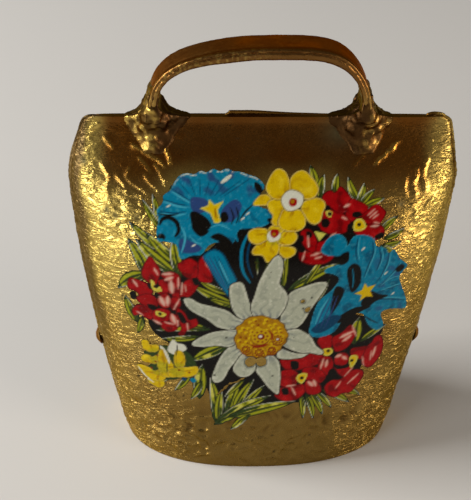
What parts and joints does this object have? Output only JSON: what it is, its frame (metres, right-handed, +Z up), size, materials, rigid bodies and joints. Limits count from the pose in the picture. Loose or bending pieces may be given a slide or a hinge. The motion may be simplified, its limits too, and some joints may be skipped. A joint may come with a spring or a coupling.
{
  "type": "cowbell",
  "caption": "Small sheet-metal cowbell with a lapped two-sheet body, an arched strap handle, a swinging clapper and a painted bunch of flowers on its front.",
  "frame": {"origin": "middle of the bell's bounding box at the level of the mouth rim, on which it stands", "axes": "+Z up through the handle, +X to the right of the decorated face, which looks along -Y"},
  "size_m": [0.096, 0.0454, 0.114],
  "materials": {
    "brass_skin": "crinkled, tarnished brass-coloured skin",
    "brass_dark": "dark, tarnished brass",
    "braze": "uneven braze",
    "steel": "dull wire and ball",
    "transfer": "glossy flower transfer"
  },
  "bodies": {
    "bell": {"front_shell": "brass_skin", "rear_shell": "brass_skin", "ridge_braze": "braze", "seam_rivet_left": "brass_dark", "seam_rivet_right": "brass_dark", "handle_strap": "brass_dark", "handle_braze_left": "braze", "handle_braze_right": "braze", "clapper_staple": "steel", "staple_braze_left": "braze", "staple_braze_right": "braze", "flower_transfer": "transfer"},
    "link": {"clapper_link": "steel"},
    "clapper": {"clapper_rod": "steel", "clapper_ball": "steel"}
  },
  "joints": [
    {"name": "link_swing", "type": "hinge", "parent": "bell", "child": "link", "pos_m": [0, 0, 0.079], "axis": [1, 0, 0], "range_deg": [-8.8, 8.8]},
    {"name": "clapper_swing", "type": "hinge", "parent": "link", "child": "clapper", "pos_m": [0, 0, 0.07035], "axis": [0, 1, 0], "range_deg": [-24.5, 24.5]}
  ]
}
